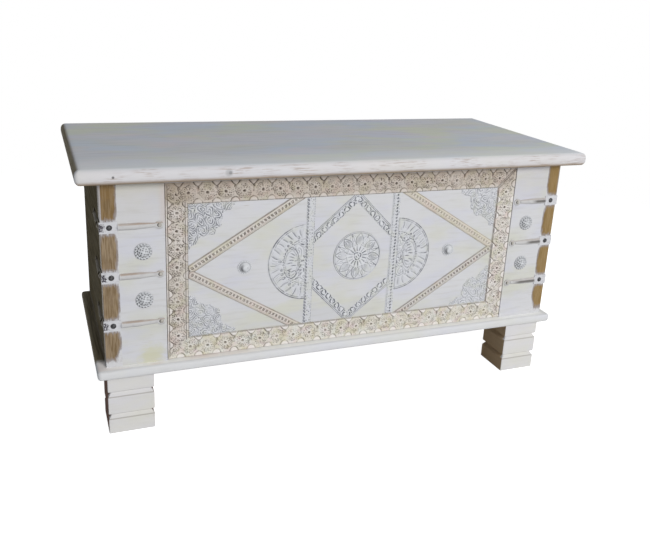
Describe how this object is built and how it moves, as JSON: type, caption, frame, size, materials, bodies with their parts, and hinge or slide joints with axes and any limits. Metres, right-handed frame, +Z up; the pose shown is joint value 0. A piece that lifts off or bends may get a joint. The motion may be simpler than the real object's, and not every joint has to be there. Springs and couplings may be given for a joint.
{
  "type": "wooden trunk",
  "caption": "Whitewashed wooden trunk on grooved block feet, with a carved front, metal corner covers and straps, and an overhanging hinged lid.",
  "frame": {"origin": "on the floor under the middle of the lid", "axes": "+X to the right along the carved front, +Y to the hinged back, +Z up"},
  "size_m": [0.9, 0.4, 0.45],
  "materials": {
    "whitewash": "worn white lime wash",
    "carved_white": "white wash with grey in the carving",
    "carved_cream": "thin cream wash, brown in the carving",
    "plain_wood": "bare hardwood",
    "brass_sheet": "dull, washed over",
    "painted_iron": "white wash rubbed through",
    "dark_iron": "dark, worn",
    "hinge_iron": "dull iron"
  },
  "bodies": {
    "case": {"front_field_board": "whitewash", "front_stile_left": "whitewash", "front_stile_right": "whitewash", "side_panel_left": "whitewash", "side_panel_right": "whitewash", "back_panel": "whitewash", "floor_board": "plain_wood", "base_rail_front": "whitewash", "base_rail_left": "whitewash", "base_rail_right": "whitewash", "base_rail_back": "whitewash", "foot_front_left": "whitewash", "foot_front_right": "whitewash", "foot_back_left": "whitewash", "foot_back_right": "whitewash", "foot_dowels": "plain_wood", "border_top": "carved_cream", "border_bottom": "carved_cream", "border_left": "carved_cream", "border_right": "carved_cream", "diamond_band_upper_left": "carved_cream", "diamond_band_upper_right": "carved_cream", "diamond_band_lower_left": "carved_cream", "diamond_band_lower_right": "carved_cream", "upright_strip_left": "carved_white", "upright_strip_right": "carved_white", "chain_strip_upper_left": "carved_white", "chain_strip_upper_right": "carved_white", "chain_strip_lower_left": "carved_white", "chain_strip_lower_right": "carved_white", "centre_medallion": "carved_white", "half_medallion_left": "carved_white", "half_medallion_right": "carved_white", "spandrel_upper_left": "carved_white", "spandrel_upper_right": "carved_white", "spandrel_lower_left": "carved_white", "spandrel_lower_right": "carved_white", "corner_cover_left": "brass_sheet", "corner_cover_right": "brass_sheet", "corner_straps_left": "painted_iron", "corner_straps_right": "painted_iron", "strap_corner_nails": "dark_iron", "strap_end_nails": "painted_iron", "rosette_studs": "painted_iron", "domed_studs": "painted_iron", "back_nails": "dark_iron", "hinge_case_leaf_left": "hinge_iron", "hinge_case_leaf_right": "hinge_iron", "hinge_pins": "hinge_iron", "hinge_case_screws": "hinge_iron"},
    "lid": {"lid_board_front": "whitewash", "lid_board_middle": "whitewash", "lid_board_rear": "whitewash", "lid_batten_left": "plain_wood", "lid_batten_right": "plain_wood", "lid_batten_screws": "hinge_iron", "hinge_lid_leaf_left": "hinge_iron", "hinge_lid_leaf_right": "hinge_iron", "hinge_lid_screws": "hinge_iron"}
  },
  "joints": [
    {"name": "lid_hinge", "type": "hinge", "parent": "case", "child": "lid", "pos_m": [0, 0.166, 0.422], "axis": [-1, 0, 0], "range_deg": [0, 98]}
  ]
}
